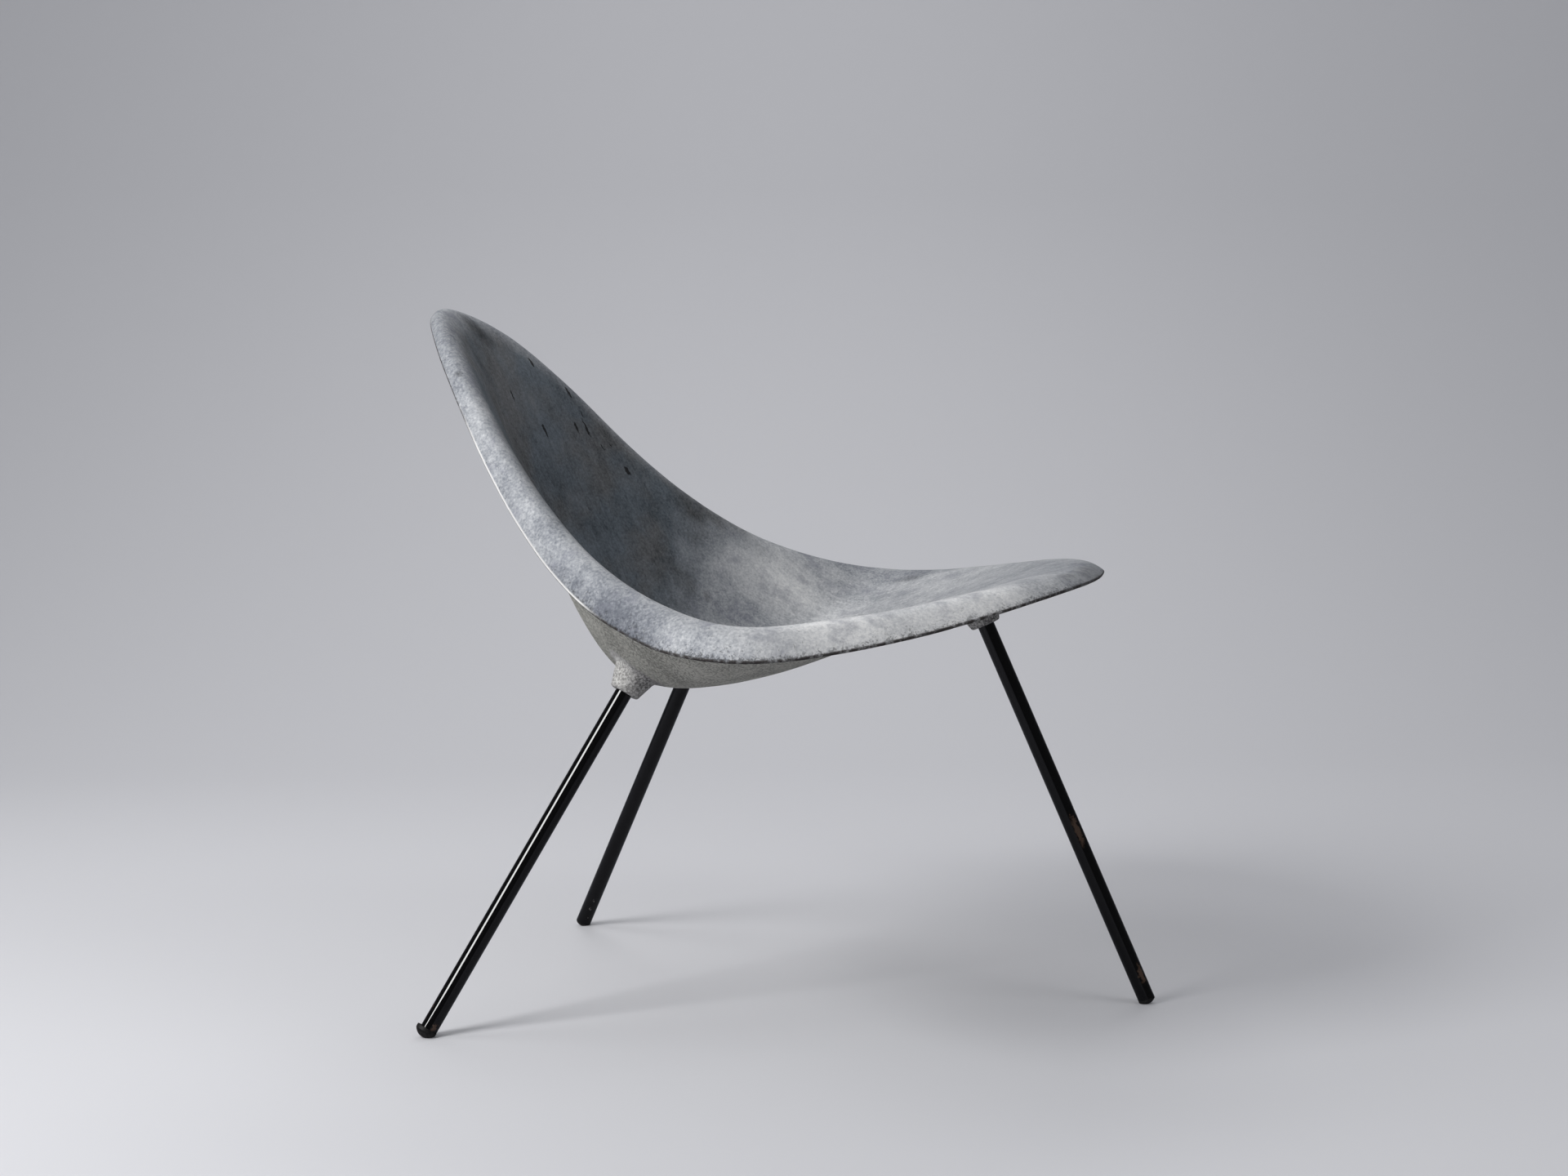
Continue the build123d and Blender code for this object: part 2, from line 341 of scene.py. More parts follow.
def boss_inside(mouth, wall_over):
    """Radii and heights from the end of the stud hole, out of the socket and round the mouth to the side."""
    tube_top = mouth + SOCKET_DEPTH
    socket = LEG_DIAMETER / 2 + SOCKET_CLEARANCE
    bore = STUD_HOLE_DIAMETER / 2
    turn = math.pi / 2 - math.radians(BOSS_DRAFT)
    flat_radius = BOSS_MOUTH_DIAMETER / 2 - BOSS_MOUTH_ROUND * math.tan(turn / 2)
    line = [
        (0, wall_over), (bore * 0.5, wall_over), (bore, wall_over), (bore, tube_top), (socket, tube_top),
        (socket, mouth + SOCKET_CHAMFER), (socket + SOCKET_CHAMFER * 0.4, mouth + SOCKET_CHAMFER * 0.3),
        (socket + SOCKET_CHAMFER, mouth), ((socket + flat_radius) / 2, mouth),
    ]
    for k in range(ROUND_STEPS + 1):
        angle = turn * k / ROUND_STEPS
        line.append((
            flat_radius + BOSS_MOUTH_ROUND * math.sin(angle),
            mouth + BOSS_MOUTH_ROUND * (1 - math.cos(angle)),
        ))
    return line


def boss_rows(leg, tree):
    """Rings of a boss from the end of its stud hole, out of the socket, over the mouth and on to the skin."""
    root = height_above(tree, leg, 0, 0)
    mouth = root - leg.boss_height
    inside = boss_inside(mouth, height_above(tree, leg, 0, 0, root + PAST_SKIN) - METAL_OVER_STUD)
    draft = math.radians(BOSS_DRAFT)
    columns = []
    for k in range(BOSS_STEPS):
        angle = 2 * math.pi * k / BOSS_STEPS
        # Where the drafted side would meet the skin, found by stepping to it
        radius = BOSS_MOUTH_DIAMETER / 2
        for _ in range(MEETING_TRIES):
            height = height_above(tree, leg, radius, angle) - mouth
            radius = BOSS_MOUTH_DIAMETER / 2 + height * math.tan(draft)
        near = height_above(tree, leg, radius + SLOPE_FROM, angle) - mouth
        far = height_above(tree, leg, radius + SLOPE_TO, angle) - mouth
        corner = Vector((radius, height))
        down = Vector((-math.sin(draft), -math.cos(draft)))
        out = Vector((SLOPE_TO - SLOPE_FROM, far - near)).normalized()
        half = math.acos(max(-1, min(1, down.dot(out)))) / 2
        run = BOSS_ROOT_FILLET / math.tan(half)
        centre = corner + (down + out).normalized() * (BOSS_ROOT_FILLET / math.sin(half))
        start, end = corner + down * run, corner + out * run
        last = Vector((inside[-1][0], inside[-1][1] - mouth))
        side = [last + (start - last) * share for share in BOSS_SIDE_RINGS]
        first_arm, last_arm = start - centre, end - centre
        sweep = first_arm.angle_signed(last_arm)
        for j in range(ROUND_STEPS + 1):
            turned = first_arm.copy()
            turned.rotate(Matrix.Rotation(-sweep * j / ROUND_STEPS, 2))
            side.append(centre + turned)
        columns.append((angle, inside + [(point.x, mouth + point.y) for point in side], end.x))
    reach = max(end for _, _, end in columns) + BOSS_SKIRT
    rows = [
        [leg.at(column[j][0], angle, column[j][1]) for angle, column, _ in columns]
        for j in range(len(columns[0][1]))
    ]
    for extra in (0.5, 1.0):
        ring = []
        for angle, _, end in columns:
            radius = end + (reach - end) * extra
            ring.append(leg.at(radius, angle, height_above(tree, leg, radius, angle)))
        rows.append(ring)
    rows = np.array([[tuple(p) for p in ring] for ring in rows]) - [0, TO_ORIGIN_Y, 0]
    return np.concatenate([rows, rows[:, :1]], axis=1), reach


def select(piece, kind, wanted):
    """Leaves a piece in edit mode with only the wanted corners or edges selected."""
    bpy.ops.object.select_all(action="DESELECT")
    piece.select_set(True)
    bpy.context.view_layer.objects.active = piece
    bpy.ops.object.mode_set(mode="EDIT")
    bpy.ops.mesh.select_mode(type=kind)
    bpy.ops.mesh.select_all(action="DESELECT")
    bpy.ops.object.mode_set(mode="OBJECT")
    members = piece.data.vertices if kind == "VERT" else piece.data.edges
    members.foreach_set("select", wanted)
    bpy.ops.object.mode_set(mode="EDIT")


def open_edges(mesh):
    """Which edges only one face has."""
    counts = np.zeros(len(mesh.edges), int)
    used = np.zeros(len(mesh.loops), int)
    mesh.loops.foreach_get("edge_index", used)
    np.add.at(counts, used, 1)
    return counts == 1


def corner_places(mesh):
    """Places of a mesh's corners as an array."""
    places = np.zeros(len(mesh.vertices) * 3)
    mesh.vertices.foreach_get("co", places)
    return places.reshape(-1, 3)


def corner_marks(mesh, name):
    """Numbers kept on a mesh's corners as an array."""
    values = np.zeros(len(mesh.vertices), np.float32)
    mesh.attributes[name].data.foreach_get("value", values)
    return values


def make_casting():
    """The seat with its rolled rim and its three bosses, one closed mesh."""
    points, under, on_edge, from_edge = casting_rows()
    marks = {"under": under, "on_edge": on_edge, "from_edge": from_edge * MM, "boss": 0.0}
    casting = draped_grid("seat_casting", points, marks)
    tree = BVHTree.FromPolygons(
        [v.co for v in casting.data.vertices], [p.vertices for p in casting.data.polygons],
    )
    marks = {"under": 1.0, "on_edge": 0.0, "from_edge": BOSS_FROM_EDGE, "boss": 1.0}
    for place, numbers in LEGS.items():
        leg = Leg(*numbers)
        rows, reach = boss_rows(leg, tree)
        boss = draped_grid(f"{place}_boss", rows, marks)
        # The skin inside the foot of the boss is taken out, and the boss is bridged to the hole
        covered = leg.off_axis(corner_places(casting.data)) < reach + HOLE_MARGIN
        skin_below = (corner_marks(casting.data, "under") > 0.5) & (corner_marks(casting.data, "boss") < 0.5)
        select(casting, "VERT", covered & skin_below)
        bpy.ops.mesh.delete(type="VERT")
        bpy.ops.object.mode_set(mode="OBJECT")
        boss.select_set(True)
        bpy.ops.object.join()
        select(casting, "EDGE", open_edges(casting.data))
        bpy.ops.mesh.bridge_edge_loops()
        bpy.ops.mesh.select_all(action="SELECT")
        bpy.ops.mesh.normals_make_consistent(inside=False)
        bpy.ops.object.mode_set(mode="OBJECT")
    return casting


def rub_uneven(piece):
    """Waves of a casting rubbed down by hand: both skins sway together, and the bosses stay true."""
    noise.seed_set(WAVE_SEED)
    places = corner_places(piece.data)
    clear = np.ones(len(places))
    for numbers in LEGS.values():
        apart = Leg(*numbers).off_axis(places) * MM
        clear *= np.clip((apart - BOSS_KEPT_TRUE) / BOSS_KEPT_TRUE, 0, 1)
    for length, height in WAVES:
        sway = np.array([noise.noise_vector(Vector(place) / length) for place in places])
        places = places + sway * (clear * height)[:, None]
    piece.data.vertices.foreach_set("co", places.reshape(-1))
    piece.data.update()


casting = make_casting()
rub_uneven(casting)
bpy.ops.object.select_all(action="DESELECT")
casting.select_set(True)
bpy.context.view_layer.objects.active = casting
bpy.ops.object.shade_smooth_by_angle(angle=SMOOTH_ANGLE)
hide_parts("seat_shell")
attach(casting, "root")


# Finishes

# Sockets of a Mix node that mixes colours
AMOUNT, FIRST, SECOND = 0, 6, 7

# Marks on the casting: place in millimetres, direction, half length and half width
HOLLOW_NICKS = [
    ((93, 288, 617), (0, -0.5, -0.85), 7, 3.0),
    ((132, 262, 585.5), (0, -0.5, -0.85), 9, 2.8),
    ((115, 248.5, 549.5), (0, -0.45, -0.9), 8, 2.1),
    ((130.6, 243, 549), (0, -0.45, -0.9), 14, 2.0),
    ((135, 249.3, 564.8), (0, -0.5, -0.85), 5, 1.7),
    ((26, 287, 583.5), (-0.1, -0.4, -0.9), 10, 1.6),
    ((161.7, 208, 504.3), (0.3, -0.55, -0.8), 7, 3.2),
    ((142, 229, 529), (0.2, -0.5, -0.8), 5, 1.3),
    ((156, 224, 531), (0.2, -0.5, -0.8), 4, 1.2),
    ((59, 264.4, 547.6), (0, -0.4, -0.9), 10, 2.5),
]
# The same, and how dark the middle is. The two at the front crest are painted shade.
SMUDGES_AND_SHADE = [
    ((20, 320, 648), (0.7, -0.4, -0.6), 34, 17, 0.62),
    ((-30, 302, 618), (0.1, -0.4, -0.9), 30, 14, 0.35),
    ((-144, 280, 602), (0.2, -0.6, -0.8), 9, 5, 0.55),
    # Painted shade along the front crest
    ((-102, -280, 413), (1, -0.2, 0), 34, 9, 0.3),
    ((-35, -291, 412), (1, 0, 0), 75, 16, 0.35),
    ((314, -68, 381), (0.2, 1, 0), 22, 12, 0.3),
    ((174, 126, 371), (0.4, 0.6, 0.6), 12, 7, 0.4),
]
# Places rubbed brighter by arms and legs, and duller ones, with the change of tone in their middles.
# Most are painted light and painted shade: brighter on the far inner side, the near lip and the front of
# the hollow, darker on the lip further back and along the front crest.
BURNISHED_AND_PAINTED_LIGHT = [
    ((258, 60, 378), (0.2, 0.7, 0.3), 120, 62, 0.36),
    ((-258, 60, 378), (-0.2, 0.7, 0.3), 120, 62, 0.36),
    ((-335, -125, 382), (0.25, -1, 0.05), 125, 60, 0.46),
    ((-250, -225, 392), (1, -0.8, 0.1), 95, 50, 0.4),
    ((-174, 256, 568), (0.5, 0.5, 0.75), 70, 30, 0.1),
    ((52, 275, 575), (0.3, -0.4, -0.85), 120, 70, 0.2),
    ((335, -60, 388), (-0.1, -1, 0.05), 190, 45, -0.16),
    ((-322, 105, 402), (0.35, 1, 0.35), 115, 55, -0.32),
    ((322, 105, 402), (-0.35, 1, 0.35), 115, 55, -0.32),
    ((230, -110, 372), (0, 1, 0), 150, 90, 0.12),
    ((-230, -110, 372), (0, 1, 0), 150, 90, 0.12),
    ((0, -275, 414), (1, 0, 0), 150, 45, -0.18),
]

# Every pattern's scale is 1000 over its size in millimetres.
# Tone of the rubbed metal: its mean, and layers as size in millimetres, detail and share. The finest layer
# is really a sparkle under a millimetre, drawn coarser so that it shows.
MEAN_TONE = 0.53
OXIDE_LAYERS = ((110, 4, 0.45), (30, 4, 0.42), (7, 3, 0.28), (2.6, 2, 0.58))
RUB_WIDTH, RUB_LENGTH, RUB_SHARE = 8, 80, 0.32
# How unevenly the patina ends. The patina is partly painted shade inside the back
PATINA_AND_SHADE_DRIFT, PATINA_AND_SHADE_STREAKS = 0.16, 0.06
FILM_SHARE, FILM_LEVEL, SAND_SHARE = 0.45, -0.2, 1.5
MOULD_SKIN_SHARE = 0.85
# Grains of the sand and of the mould's skin, really finer and drawn at this size so that they show
GRAIN = 2.2
DIRT_ROUGHER, WORN_SMOOTHER = 0.2, -0.3
TONE_RELIEF, DIRT_RELIEF = 0.6, -1.0
SATIN = (
    (0.05, "#666a73"), (0.25, "#7f838b"), (0.44, "#a4a7ac"),
    (0.58, "#bdbfc2"), (0.78, "#d9dadb"), (0.99, "#f4f4f3"),
)
# Patina colours, partly painted shade inside the back
BLUE_PATINA_AND_SHADE = ((0.28, "#495157"), (0.78, "#858e96"))
WARM_PATINA_AND_SHADE = ((0.28, "#4d4f50"), (0.78, "#8d8f91"))
SAND_CAST = ((0.65, "#85857f"), (0.9, "#cbcac2"))
MOULD_SKIN = ((0.36, "#8f8d8b"), (0.6, "#e4e3e1"))
# The grime colour is partly painted shade on the bosses; the dirt colour also paints shade at the front crest
LAVENDER_OXIDE, GRIME_AND_SHADE, DIRT_AND_SHADE = "#90929d", "#4d4a4c", "#201f1f"
# Bright metal of the worn edge with a painted highlight, and the colour of the darker broken edge line
BRIGHT_METAL_AND_HIGHLIGHT, DARK_EDGE = "#f3f2f0", "#3d3836"

# Where the casting's finish changes, in metres: inwards from the edge, along Y and up Z
HOLLOW_BEGINS = {"From Min": 0.022, "From Max": 0.046}
OUTER_LIP = {"From Min": 0.001, "From Max": 0.02, "To Min": 0.22, "To Max": 0.0}
LIP_FRINGE = {"From Min": 0.0005, "From Max": 0.005, "To Min": 0.09, "To Max": 0.0}
OUTERMOST = {"From Min": 0.0003, "From Max": 0.0016, "To Min": 1.0, "To Max": 0.0}
# Painted shade on the lip, darker towards the back
LIP_SHADED_TOWARDS_BACK = {"From Min": -0.08, "From Max": 0.10, "To Min": 0.0, "To Max": -0.13}
# Where the patina and its painted shade begin along Y
PATINA_AND_SHADE_BEGINS = {"From Min": 0.205, "From Max": 0.27}
# Grime and painted shade on the bosses, darker towards -Y
GRIME_AND_SHADE_IN_FRONT = {"From Min": 0.128, "From Max": 0.110, "To Min": 0.05, "To Max": 1.0}
# The bright edge, worn and partly a painted highlight, lies towards the back and between these heights
WORN_AND_HIGHLIT_BEHIND = {"From Min": -0.05, "From Max": 0.05}
LOW_LIP = {"From Min": 0.40, "From Max": 0.46, "To Min": 1.0, "To Max": 0.35}
WORN_AND_HIGHLIT_FROM = {"From Min": 0.388, "From Max": 0.402}
WORN_AND_HIGHLIT_UP_TO = {"From Min": 0.535, "From Max": 0.575, "To Min": 1.0, "To Max": 0.0}
# How much of a pattern shows, by its own strength
STAINS = {"From Min": 0.53, "From Max": 0.66, "To Max": 0.45}
PATINA_AND_SHADE_WARMS = {"From Min": 0.42, "From Max": 0.6}
GRIME_AND_SHADE_SPECKS = {"From Min": 0.58, "From Max": 0.40, "To Min": 0.3, "To Max": 0.85}
NICKS = {"From Min": 0.02, "From Max": 0.35, "To Max": 0.9}
PITS = {"From Min": 0.63, "From Max": 0.75, "To Max": 0.55}
TURNED_UNDER = {"From Min": 0.12, "From Max": 0.3}
RIGHT_ON_EDGE = {"From Min": 0.75, "From Max": 1.0}
BROKEN_DARK_EDGE = {"From Min": 0.38, "From Max": 0.52, "To Min": 0.3, "To Max": 0.95}
SATIN_ROUGHNESS = {"From Min": 0.25, "From Max": 0.75, "To Min": 0.78, "To Max": 0.64}
CHIPS = {"From Min": 0.12, "From Max": 0.3}
# Dust on the feet, by the height above the floor in metres
FLOOR_DUST = {"From Min": 0.0, "From Max": 0.007, "To Min": 0.35, "To Max": 0.0}

# Worn places on the legs: place in millimetres, the leg, half length along it and half width
WORN_LACQUER = [
    ((-7, -279, 165), "front", 24, 5.0),
    ((-5, -338.5, 29), "front", 16, 4.0),
    ((-239, 280, 9.4), "rear_right", 6, 4.0),
    ((-232, 283, 29), "rear_right", 4, 2.0),
    ((170, 219, 117), "rear_left", 20, 6.0),
]
SCRATCHED_LACQUER = [
    ((217, 271, 31), "rear_left", 4, 0.9),
    ((221, 276, 21), "rear_left", 3.5, 0.8),
    ((225.5, 281.7, 9), "rear_left", 3.5, 0.9),
]
PRIMER, BARE_STEEL = "#4f3a2b", "#8f8d8a"
GLOSSY, BARE = 0.035, 0.6
CHIP_DEPTH = -6.0
# A wave texture has 20 / (2 pi) bands to the metre for each unit of its scale, here one in 5 mm
TURNED_RINGS = 62.5


def srgb(code):
    """A hex colour as linear red, green, blue and alpha."""
    parts = [int(code[k:k + 2], 16) / 255 for k in (1, 3, 5)]
    return tuple(c / 12.92 if c <= 0.04045 else ((c + 0.055) / 1.055) ** 2.4 for c in parts) + (1.0,)


def node(tree, kind, inputs=None, stops=(), **settings):
    """Adds a shader node, sets its properties and colour stops, and sets or links its inputs.
    An input that is given a node is linked to the first output which that node has in use."""
    made = tree.nodes.new("ShaderNode" + kind)
    for name, value in settings.items():
        setattr(made, name, value)
    for key, value in (inputs or {}).items():
        if isinstance(value, bpy.types.Node):
            value = next(output for output in value.outputs if output.enabled)
        if isinstance(value, bpy.types.NodeSocket):
            tree.links.new(value, made.inputs[key])
        else:
            made.inputs[key].default_value = value
    for k, (at, code) in enumerate(stops):
        stop = made.color_ramp.elements[k] if k < 2 else made.color_ramp.elements.new(at)
        stop.position = at
        stop.color = srgb(code)
    return made


def finish(name):
    """A new material and its empty node tree."""
    material = bpy.data.materials.new(name)
    material.use_nodes = True
    material.node_tree.nodes.clear()
    return material, material.node_tree


def mark(tree, place, at, along, half_length, half_width):
    """A mark on a surface that fades from 1 in its middle to 0 at its ends and sides."""
    turn = Vector(along).normalized().to_track_quat("X", "Z").to_euler()
    laid = node(tree, "Mapping", {
        "Vector": place, "Location": Vector(at) * MM, "Rotation": turn,
        "Scale": (half_length * MM, half_width * MM, half_width * MM),
    }, vector_type="TEXTURE")
    return node(tree, "TexGradient", {"Vector": laid}, gradient_type="SPHERICAL").outputs["Fac"]


def ragged(tree, place, size, detail, reach):
    """A place pushed about by noise of a size in millimetres, to give marks a ragged outline."""
    push = node(tree, "TexNoise", {"Vector": place, "Scale": 1000 / size, "Detail": detail})
    push = node(tree, "VectorMath", {0: push.outputs["Color"], 1: (-0.5, -0.5, -0.5)}, operation="ADD")
    return node(tree, "VectorMath", {0: push, 1: (reach, reach, reach), 2: place}, operation="MULTIPLY_ADD")


def places_on_casting(tree):
    """Where a point of the casting lies, in metres, and the numbers kept on the mesh's corners."""
    place = node(tree, "TexCoord").outputs["Object"]
    split = node(tree, "SeparateXYZ", {0: place})
    under, on_edge, from_edge, boss = (
        node(tree, "Attribute", attribute_name=name).outputs["Fac"]
        for name in ("under", "on_edge", "from_edge", "boss")
    )
    upper = node(tree, "Math", {0: 1.0, 1: under}, operation="SUBTRACT")
    inland = node(tree, "MapRange", {"Value": from_edge, **HOLLOW_BEGINS})
    hollow = node(tree, "Math", {0: inland, 1: upper}, operation="MULTIPLY")
    return SimpleNamespace(
        place=place, y=split.outputs["Y"], z=split.outputs["Z"], under=under, upper=upper,
        on_edge=on_edge, from_edge=from_edge, hollow=hollow, boss=boss,
    )


def metal_tone(tree, seat, rubbed):
    """Tone of the rubbed metal: clouds, mottling, sparkle, rubbing marks, burnished places, and patches of
    painted light and painted shade.
    """
    tone = MEAN_TONE
    for size, detail, share in OXIDE_LAYERS:
        layer = node(tree, "TexNoise", {
            "Vector": seat.place, "Scale": 1000 / size, "Detail": detail, "Roughness": 0.6, "Distortion": 0.3,
        })
        part = node(tree, "Math", {0: layer, 1: -0.5}, operation="ADD")
        tone = node(tree, "Math", {0: part, 1: share, 2: tone}, operation="MULTIPLY_ADD")
    streak = node(tree, "Math", {0: rubbed, 1: -0.5}, operation="ADD")
    streak = node(tree, "Math", {0: streak, 1: seat.hollow}, operation="MULTIPLY")
    tone = node(tree, "Math", {0: streak, 1: RUB_SHARE, 2: tone}, operation="MULTIPLY_ADD")
    # The lip is painted darker towards the back: painted shade where it faces the key
    lip = node(tree, "Math", {0: 1.0, 1: seat.hollow}, operation="SUBTRACT")
    lip_shade = node(tree, "MapRange", {"Value": seat.y, **LIP_SHADED_TOWARDS_BACK})
    tone = node(tree, "Math", {0: lip_shade, 1: lip, 2: tone}, operation="MULTIPLY_ADD")
    # Burnished places and patches of painted light and painted shade
    for at, run, length, width, change in BURNISHED_AND_PAINTED_LIGHT:
        fade = mark(tree, seat.place, at, run, length, width)
        tone = node(tree, "Math", {0: fade, 1: change, 2: tone}, operation="MULTIPLY_ADD")
    return tone


def upper_colour(tree, seat, tone, rubbed):
    """Satin metal with stains of oxide. A darker patina lies inside the back, partly real and partly painted
    shade, and ends unevenly where the seat is sat on."""
    colour = node(tree, "ValToRGB", {"Fac": tone}, stops=SATIN)
    stain = node(tree, "TexNoise", {
        "Vector": seat.place, "Scale": 1000 / 26, "Detail": 5.0, "Roughness": 0.62,
    })
    stain = node(tree, "MapRange", {"Value": stain, **STAINS})
    colour = node(tree, "Mix", {AMOUNT: stain, FIRST: colour, SECOND: srgb(LAVENDER_OXIDE)}, data_type="RGBA")
    drift = node(tree, "TexNoise", {
        "Vector": seat.place, "Scale": 1000 / 85, "Detail": 3.0, "Roughness": 0.6,
    })
    uneven = node(tree, "Math", {0: drift, 1: PATINA_AND_SHADE_DRIFT, 2: seat.y}, operation="MULTIPLY_ADD")
    uneven = node(tree, "Math", {0: rubbed, 1: PATINA_AND_SHADE_STREAKS, 2: uneven}, operation="MULTIPLY_ADD")
    # Patina mask, partly painted shade inside the back
    settled_and_shaded = node(tree, "MapRange", {"Value": uneven, **PATINA_AND_SHADE_BEGINS})
    patina_and_shade = node(tree, "Math", {0: settled_and_shaded, 1: seat.hollow}, operation="MULTIPLY")
    blue, warm = (node(tree, "ValToRGB", {"Fac": tone}, stops=stops) for stops in (BLUE_PATINA_AND_SHADE, WARM_PATINA_AND_SHADE))
    warmth = node(tree, "MapRange", {"Value": drift, **PATINA_AND_SHADE_WARMS})
    aged_and_shaded = node(tree, "Mix", {AMOUNT: warmth, FIRST: blue, SECOND: warm}, data_type="RGBA")
    return node(tree, "Mix", {AMOUNT: patina_and_shade, FIRST: colour, SECOND: aged_and_shaded}, data_type="RGBA")


def raw_colour(tree, seat, colour, sandy):
    """Laid over the upper colour: underneath, the grain of the sand under a warm grey film. The bosses were
    never rubbed down, so they show bright and dark grains of the mould's skin, with grime on their fronts
    that is partly painted shade, darker on the sides that face away from the key."""
    film = node(tree, "TexNoise", {
        "Vector": seat.place, "Scale": 1000 / 45, "Detail": 4.0, "Roughness": 0.55,
    })
    film = node(tree, "Math", {0: film, 1: FILM_SHARE, 2: FILM_LEVEL}, operation="MULTIPLY_ADD")
    sand = node(tree, "Math", {0: sandy, 1: SAND_SHARE, 2: film}, operation="MULTIPLY_ADD")
    raw = node(tree, "ValToRGB", {"Fac": sand}, stops=SAND_CAST)
    colour = node(tree, "Mix", {AMOUNT: seat.under, FIRST: colour, SECOND: raw}, data_type="RGBA")
    grains = node(tree, "TexNoise", {
        "Vector": seat.place, "Scale": 1000 / GRAIN, "Detail": 3.0, "Roughness": 0.8,
    })
    spark = node(tree, "ValToRGB", {"Fac": grains}, stops=MOULD_SKIN)
    grainy = node(tree, "Math", {0: seat.boss, 1: MOULD_SKIN_SHARE}, operation="MULTIPLY")
    colour = node(tree, "Mix", {AMOUNT: grainy, FIRST: colour, SECOND: spark}, data_type="RGBA")
    # Grime and painted shade, darker on the bosses' -Y sides and on the front boss
    grime_and_shade = node(tree, "MapRange", {"Value": seat.y, **GRIME_AND_SHADE_IN_FRONT})
    specks = node(tree, "MapRange", {"Value": grains, **GRIME_AND_SHADE_SPECKS})
    grime_and_shade = node(tree, "Math", {0: grime_and_shade, 1: specks}, operation="MULTIPLY")
    grime_and_shade = node(tree, "Math", {0: grime_and_shade, 1: seat.boss}, operation="MULTIPLY")
    return node(tree, "Mix", {AMOUNT: grime_and_shade, FIRST: colour, SECOND: srgb(GRIME_AND_SHADE)}, data_type="RGBA")


def dirt_and_shade_amount(tree, seat, rubbed):
    """Nicks and smudges with ragged outlines, and pits; the two smudges at the front crest are painted
    shade. The pits lie thick along the outer third of the lip where it is low, and thin out further in
    and further up."""
    warped = ragged(tree, seat.place, size=5, detail=3.0, reach=0.006)
    dirt_and_shade = 0.0
    for at, run, length, width in HOLLOW_NICKS:
        fade = mark(tree, warped, at, run, length, width)
        cut = node(tree, "MapRange", {"Value": fade, **NICKS})
        dirt_and_shade = node(tree, "Math", {0: dirt_and_shade, 1: cut}, operation="MAXIMUM")
    # Smudges, and painted shade along the front crest
    for at, run, length, width, strength in SMUDGES_AND_SHADE:
        fade = mark(tree, warped, at, run, length, width)
        broken = node(tree, "Math", {0: fade, 1: rubbed}, operation="MULTIPLY")
        soft = node(tree, "MapRange", {"Value": broken, "From Max": 0.4, "To Max": strength})
        dirt_and_shade = node(tree, "Math", {0: dirt_and_shade, 1: soft}, operation="MAXIMUM")
    pits = node(tree, "TexNoise", {
        "Vector": seat.place, "Scale": 1000 / 4.0, "Detail": 5.0, "Roughness": 0.68, "Distortion": 1.2,
    })
    patches = node(tree, "TexNoise", {"Vector": seat.place, "Scale": 1000 / 55, "Detail": 2.0})
    low = node(tree, "MapRange", {"Value": seat.z, **LOW_LIP})
    outer = node(tree, "MapRange", {"Value": seat.from_edge, **OUTER_LIP})
    fringe = node(tree, "MapRange", {"Value": seat.from_edge, **LIP_FRINGE})
    sites = node(tree, "Math", {0: patches, 1: outer}, operation="MULTIPLY")
    sites = node(tree, "Math", {0: sites, 1: low, 2: pits}, operation="MULTIPLY_ADD")
    sites = node(tree, "Math", {0: fringe, 1: low, 2: sites}, operation="MULTIPLY_ADD")
    pit = node(tree, "MapRange", {"Value": sites, **PITS})
    pit = node(tree, "Math", {0: pit, 1: seat.upper}, operation="MULTIPLY")
    return node(tree, "Math", {0: dirt_and_shade, 1: pit}, operation="MAXIMUM")


def edge_bright_and_dark(tree, seat):
    """The edge of the back is bright between its lower corners and its shoulders: worn by hands, and partly a
    painted highlight where the key falls. Everywhere else the edge is darker, in a broken line."""
    # Bright edge: partly wear, partly a painted highlight where the key falls
    worn_and_highlit = node(tree, "MapRange", {"Value": seat.z, **WORN_AND_HIGHLIT_FROM})
    behind = node(tree, "MapRange", {"Value": seat.y, **WORN_AND_HIGHLIT_BEHIND})
    below_top = node(tree, "MapRange", {"Value": seat.z, **WORN_AND_HIGHLIT_UP_TO})
    outermost = node(tree, "MapRange", {"Value": seat.from_edge, **OUTERMOST})
    corner = node(tree, "MapRange", {"Value": seat.under, **TURNED_UNDER})
    facing = node(tree, "Math", {0: 1.0, 1: corner}, operation="SUBTRACT")
    for limit in (behind, below_top, outermost, facing):
        worn_and_highlit = node(tree, "Math", {0: worn_and_highlit, 1: limit}, operation="MULTIPLY")
    # The darker broken line along the rest of the edge
    narrow = node(tree, "MapRange", {"Value": seat.on_edge, **RIGHT_ON_EDGE})
    kept = node(tree, "Math", {0: 1.0, 1: worn_and_highlit}, operation="SUBTRACT")
    gaps = node(tree, "TexNoise", {"Vector": seat.place, "Scale": 1000 / 7, "Detail": 4.0, "Roughness": 0.7})
    gaps = node(tree, "MapRange", {"Value": gaps, **BROKEN_DARK_EDGE})
    dark_edge = node(tree, "Math", {0: narrow, 1: kept}, operation="MULTIPLY")
    dark_edge = node(tree, "Math", {0: dark_edge, 1: gaps}, operation="MULTIPLY")
    return worn_and_highlit, dark_edge


